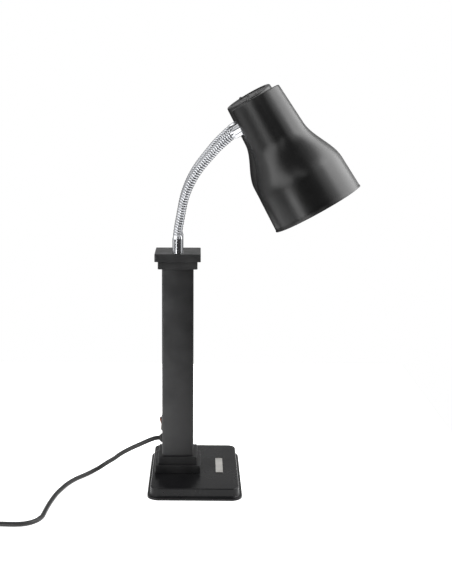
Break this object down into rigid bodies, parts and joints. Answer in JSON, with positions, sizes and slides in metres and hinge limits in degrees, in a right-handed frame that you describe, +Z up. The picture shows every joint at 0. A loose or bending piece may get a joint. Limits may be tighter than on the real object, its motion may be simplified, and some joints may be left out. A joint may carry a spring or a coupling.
{
  "type": "food heat lamp",
  "caption": "Freestanding food warming lamp: weighted rectangular base, square column with a rocker switch, and ribbed bendable necks that carry bell-shaped shades with reflector bulbs.",
  "frame": {"origin": "middle of the base's underside, on the table", "axes": "+X towards the front, where the heads hang over; +Y to the lamp's own left; +Z up"},
  "size_m": [0.687, 0.3838, 0.637],
  "materials": {
    "pan_paint": "gloss",
    "iron": "matte",
    "zinc_steel": "satin",
    "rubber": "matte",
    "plate_paint": "satin",
    "column_paint": "satin",
    "shade_paint": "satin",
    "chrome": "polished",
    "black_plastic": "satin",
    "rocker": "gloss",
    "terminal": "matte",
    "porcelain": "gloss",
    "bulb_cap": "satin",
    "bulb_glass": "gloss",
    "cord_jacket": "satin",
    "pin_metal": "polished"
  },
  "bodies": {
    "root": {"base_pan": "pan_paint", "base_ballast": "iron", "bottom_plate": "zinc_steel", "base_pad": "rubber", "bottom_screws": "zinc_steel", "plinth_lower": "plate_paint", "plinth_upper": "plate_paint", "column": "column_paint", "cap_lower": "plate_paint", "cap_upper": "plate_paint", "tie_rod": "zinc_steel", "rod_nut": "zinc_steel", "cap_screws": "zinc_steel", "switch_body": "black_plastic", "cord_bushing": "black_plastic", "bushing_nut": "black_plastic", "terminal_block": "terminal", "right_neck_foot": "chrome", "left_neck_foot": "chrome", "neck_locknuts": "zinc_steel", "cord": "cord_jacket", "cord_coil": "cord_jacket", "cord_tie": "black_plastic", "plug": "black_plastic", "plug_pins": "pin_metal"},
    "rocker": {"rocker": "rocker"},
    "right_neck_1": {"right_neck_1": "chrome"},
    "right_neck_2": {"right_neck_2": "chrome"},
    "right_neck_3": {"right_neck_3": "chrome"},
    "right_neck_4": {"right_neck_4": "chrome"},
    "right_neck_5": {"right_neck_5": "chrome"},
    "right_neck_6": {"right_neck_6": "chrome"},
    "right_neck_7": {"right_neck_7": "chrome"},
    "right_head": {"right_head_ferrule": "chrome", "right_ferrule_nut": "zinc_steel", "right_shade": "shade_paint", "right_vent_plate": "shade_paint", "right_holder_strap": "zinc_steel", "right_lampholder": "porcelain", "right_bulb_base": "bulb_cap", "right_bulb_glass": "bulb_glass", "right_head_screws": "zinc_steel"},
    "left_neck_1": {"left_neck_1": "chrome"},
    "left_neck_2": {"left_neck_2": "chrome"},
    "left_neck_3": {"left_neck_3": "chrome"},
    "left_neck_4": {"left_neck_4": "chrome"},
    "left_neck_5": {"left_neck_5": "chrome"},
    "left_neck_6": {"left_neck_6": "chrome"},
    "left_neck_7": {"left_neck_7": "chrome"},
    "left_head": {"left_head_ferrule": "chrome", "left_ferrule_nut": "zinc_steel", "left_shade": "shade_paint", "left_vent_plate": "shade_paint", "left_holder_strap": "zinc_steel", "left_lampholder": "porcelain", "left_bulb_base": "bulb_cap", "left_bulb_glass": "bulb_glass", "left_head_screws": "zinc_steel"}
  },
  "joints": [
    {"name": "rocker_tilt", "type": "hinge", "parent": "root", "child": "rocker", "pos_m": [-0.0518, 0, 0.0892], "axis": [0, 1, 0], "range_deg": [0, 16]},
    {"name": "right_bend_1", "type": "hinge", "parent": "root", "child": "right_neck_1", "pos_m": [-0.0276, -0.025, 0.40478], "axis": [0, 1, 0], "range_deg": [-9, 4]},
    {"name": "right_lean_1", "type": "hinge", "parent": "right_neck_1", "child": "right_neck_2", "pos_m": [-0.02279, -0.025, 0.43114], "axis": [0.9838, 0, -0.1795], "range_deg": [-3, 6]},
    {"name": "right_bend_2", "type": "hinge", "parent": "right_neck_2", "child": "right_neck_3", "pos_m": [-0.01807, -0.0303, 0.45699], "axis": [0.0355, 0.9803, 0.1944], "range_deg": [-9, 4]},
    {"name": "right_bend_3", "type": "hinge", "parent": "right_neck_3", "child": "right_neck_4", "pos_m": [-0.00887, -0.03551, 0.48161], "axis": [0.0355, 0.9803, 0.1944], "range_deg": [-9, 4]},
    {"name": "right_bend_4", "type": "hinge", "parent": "right_neck_4", "child": "right_neck_5", "pos_m": [0.0044, -0.04051, 0.50435], "axis": [0.0355, 0.9803, 0.1944], "range_deg": [-9, 4]},
    {"name": "right_lean_2", "type": "hinge", "parent": "right_neck_5", "child": "right_neck_6", "pos_m": [0.02122, -0.04515, 0.5247], "axis": [0.7777, 0.0951, -0.6214], "range_deg": [-3, 6]},
    {"name": "right_bend_5", "type": "hinge", "parent": "right_neck_6", "child": "right_neck_7", "pos_m": [0.03752, -0.05489, 0.54361], "axis": [0.1588, 0.9267, 0.3406], "range_deg": [-9, 4]},
    {"name": "right_bend_6", "type": "hinge", "parent": "right_neck_7", "child": "right_head", "pos_m": [0.05683, -0.06413, 0.55973], "axis": [0.1588, 0.9267, 0.3406], "range_deg": [-9, 4]},
    {"name": "left_bend_1", "type": "hinge", "parent": "root", "child": "left_neck_1", "pos_m": [-0.0276, 0.025, 0.40478], "axis": [0, 1, 0], "range_deg": [-9, 4]},
    {"name": "left_lean_1", "type": "hinge", "parent": "left_neck_1", "child": "left_neck_2", "pos_m": [-0.02289, 0.025, 0.43116], "axis": [-0.9844, 0, 0.1757], "range_deg": [-3, 6]},
    {"name": "left_bend_2", "type": "hinge", "parent": "left_neck_2", "child": "left_neck_3", "pos_m": [-0.01827, 0.0303, 0.45702], "axis": [-0.0347, 0.9803, -0.1946], "range_deg": [-9, 4]},
    {"name": "left_bend_3", "type": "hinge", "parent": "left_neck_3", "child": "left_neck_4", "pos_m": [-0.00926, 0.03552, 0.48172], "axis": [-0.0347, 0.9803, -0.1946], "range_deg": [-9, 4]},
    {"name": "left_bend_4", "type": "hinge", "parent": "left_neck_4", "child": "left_neck_5", "pos_m": [0.00375, 0.04052, 0.5046], "axis": [-0.0347, 0.9803, -0.1946], "range_deg": [-9, 4]},
    {"name": "left_lean_2", "type": "hinge", "parent": "left_neck_5", "child": "left_neck_6", "pos_m": [0.02027, 0.04519, 0.52519], "axis": [-0.7867, 0.0933, 0.6102], "range_deg": [-3, 6]},
    {"name": "left_bend_5", "type": "hinge", "parent": "left_neck_6", "child": "left_neck_7", "pos_m": [0.03628, 0.05496, 0.54433], "axis": [-0.1559, 0.9265, -0.3425], "range_deg": [-9, 4]},
    {"name": "left_bend_6", "type": "hinge", "parent": "left_neck_7", "child": "left_head", "pos_m": [0.05527, 0.06425, 0.5608], "axis": [-0.1559, 0.9265, -0.3425], "range_deg": [-9, 4]}
  ],
  "couplings": [
    {"joint": "right_bend_2", "follows": "right_bend_1", "ratio": 1},
    {"joint": "right_bend_3", "follows": "right_bend_1", "ratio": 1},
    {"joint": "right_bend_5", "follows": "right_bend_4", "ratio": 1},
    {"joint": "right_bend_6", "follows": "right_bend_4", "ratio": 1},
    {"joint": "right_lean_2", "follows": "right_lean_1", "ratio": 1},
    {"joint": "left_bend_2", "follows": "left_bend_1", "ratio": 1},
    {"joint": "left_bend_3", "follows": "left_bend_1", "ratio": 1},
    {"joint": "left_bend_5", "follows": "left_bend_4", "ratio": 1},
    {"joint": "left_bend_6", "follows": "left_bend_4", "ratio": 1},
    {"joint": "left_lean_2", "follows": "left_lean_1", "ratio": 1}
  ]
}
